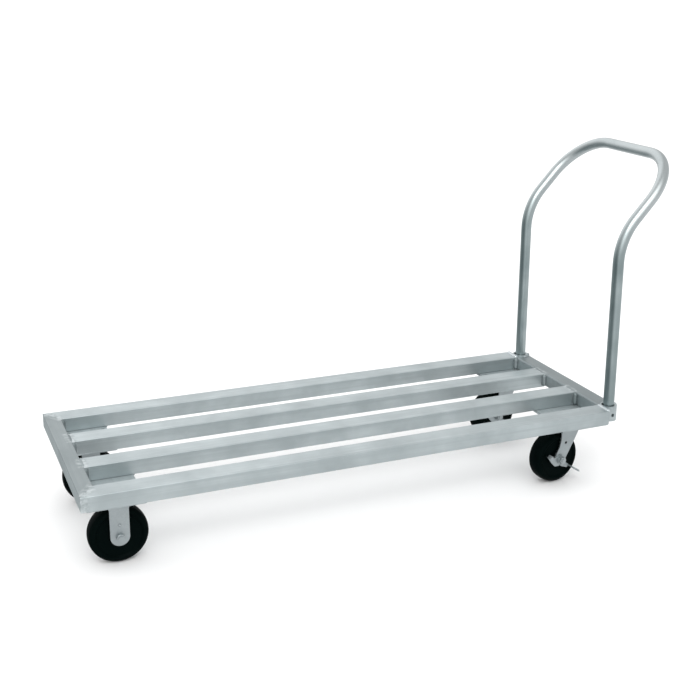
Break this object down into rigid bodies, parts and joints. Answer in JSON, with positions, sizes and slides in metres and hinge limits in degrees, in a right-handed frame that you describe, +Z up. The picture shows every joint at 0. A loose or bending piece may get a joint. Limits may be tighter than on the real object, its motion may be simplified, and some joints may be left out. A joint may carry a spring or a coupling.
{
  "type": "flatbed platform truck",
  "caption": "Low open-slat aluminium platform truck with a removable raked tube push handle, rigid front casters and braked swivel rear casters.",
  "frame": {"origin": "on the floor, under the centre of the bounding box with the casters as pictured", "axes": "+X from the front end towards the handle end, +Y towards the pusher's right, +Z up"},
  "size_m": [1.7064, 0.584, 0.9459],
  "materials": {
    "mill_aluminium": "mill",
    "weld_metal": "as welded",
    "zinc_plated_steel": "zinc plated",
    "bright_steel": "ground",
    "black_rubber": "semi-gloss"
  },
  "bodies": {
    "frame": {"front_cross_tube": "mill_aluminium", "rear_cross_tube": "mill_aluminium", "weld_beads": "weld_metal", "caster_mount_bolts": "zinc_plated_steel", "caster_mount_washers": "zinc_plated_steel", "side_rail_left": "mill_aluminium", "deck_slat_left": "mill_aluminium", "handle_socket_left": "mill_aluminium", "caster_plate_front_left": "mill_aluminium", "caster_plate_rear_left": "mill_aluminium", "rigid_top_plate_left": "zinc_plated_steel", "rigid_fork_left": "zinc_plated_steel", "rigid_axle_sleeve_left": "zinc_plated_steel", "rigid_axle_bolt_left": "zinc_plated_steel", "rigid_axle_nut_left": "zinc_plated_steel", "swivel_top_plate_left": "zinc_plated_steel", "swivel_upper_race_left": "zinc_plated_steel", "kingpin_left": "bright_steel", "kingpin_nut_left": "zinc_plated_steel", "side_rail_right": "mill_aluminium", "deck_slat_right": "mill_aluminium", "handle_socket_right": "mill_aluminium", "caster_plate_front_right": "mill_aluminium", "caster_plate_rear_right": "mill_aluminium", "rigid_top_plate_right": "zinc_plated_steel", "rigid_fork_right": "zinc_plated_steel", "rigid_axle_sleeve_right": "zinc_plated_steel", "rigid_axle_bolt_right": "zinc_plated_steel", "rigid_axle_nut_right": "zinc_plated_steel", "swivel_top_plate_right": "zinc_plated_steel", "swivel_upper_race_right": "zinc_plated_steel", "kingpin_right": "bright_steel", "kingpin_nut_right": "zinc_plated_steel"},
    "push_handle": {"push_handle": "mill_aluminium"},
    "front_wheel_left": {"rigid_wheel_left": "black_rubber"},
    "rear_swivel_left": {"swivel_fork_left": "zinc_plated_steel", "swivel_balls_left": "bright_steel", "swivel_axle_sleeve_left": "zinc_plated_steel", "swivel_axle_bolt_left": "zinc_plated_steel", "swivel_axle_nut_left": "zinc_plated_steel", "brake_cam_left": "zinc_plated_steel"},
    "rear_wheel_left": {"swivel_wheel_left": "black_rubber"},
    "brake_left": {"brake_lever_left": "zinc_plated_steel"},
    "front_wheel_right": {"rigid_wheel_right": "black_rubber"},
    "rear_swivel_right": {"swivel_fork_right": "zinc_plated_steel", "swivel_balls_right": "bright_steel", "swivel_axle_sleeve_right": "zinc_plated_steel", "swivel_axle_bolt_right": "zinc_plated_steel", "swivel_axle_nut_right": "zinc_plated_steel", "brake_cam_right": "zinc_plated_steel"},
    "rear_wheel_right": {"swivel_wheel_right": "black_rubber"},
    "brake_right": {"brake_lever_right": "zinc_plated_steel"}
  },
  "joints": [
    {"name": "handle_lift", "type": "slide", "parent": "frame", "child": "push_handle", "axis": [0, 0, 1], "range_m": [0, 0.06]},
    {"name": "front_wheel_left_spin", "type": "hinge", "parent": "frame", "child": "front_wheel_left", "pos_m": [-0.75121, -0.184, 0.075], "axis": [0, 1, 0], "continuous": true},
    {"name": "rear_left_swivel", "type": "hinge", "parent": "frame", "child": "rear_swivel_left", "pos_m": [0.54879, -0.184, 0.165], "axis": [0, 0, 1], "continuous": true},
    {"name": "rear_wheel_left_spin", "type": "hinge", "parent": "rear_swivel_left", "child": "rear_wheel_left", "pos_m": [0.50423, -0.19026, 0.075], "axis": [-0.1392, 0.9903, 0], "continuous": true},
    {"name": "brake_lever_left_turn", "type": "hinge", "parent": "rear_swivel_left", "child": "brake_left", "pos_m": [0.50423, -0.19026, 0.075], "axis": [0.1392, -0.9903, 0], "range_deg": [0, 35]},
    {"name": "front_wheel_right_spin", "type": "hinge", "parent": "frame", "child": "front_wheel_right", "pos_m": [-0.75121, 0.184, 0.075], "axis": [0, 1, 0], "continuous": true},
    {"name": "rear_right_swivel", "type": "hinge", "parent": "frame", "child": "rear_swivel_right", "pos_m": [0.54879, 0.184, 0.165], "axis": [0, 0, 1], "continuous": true},
    {"name": "rear_wheel_right_spin", "type": "hinge", "parent": "rear_swivel_right", "child": "rear_wheel_right", "pos_m": [0.50423, 0.17774, 0.075], "axis": [-0.1392, 0.9903, 0], "continuous": true},
    {"name": "brake_lever_right_turn", "type": "hinge", "parent": "rear_swivel_right", "child": "brake_right", "pos_m": [0.50423, 0.17774, 0.075], "axis": [0.1392, -0.9903, 0], "range_deg": [0, 35]}
  ]
}
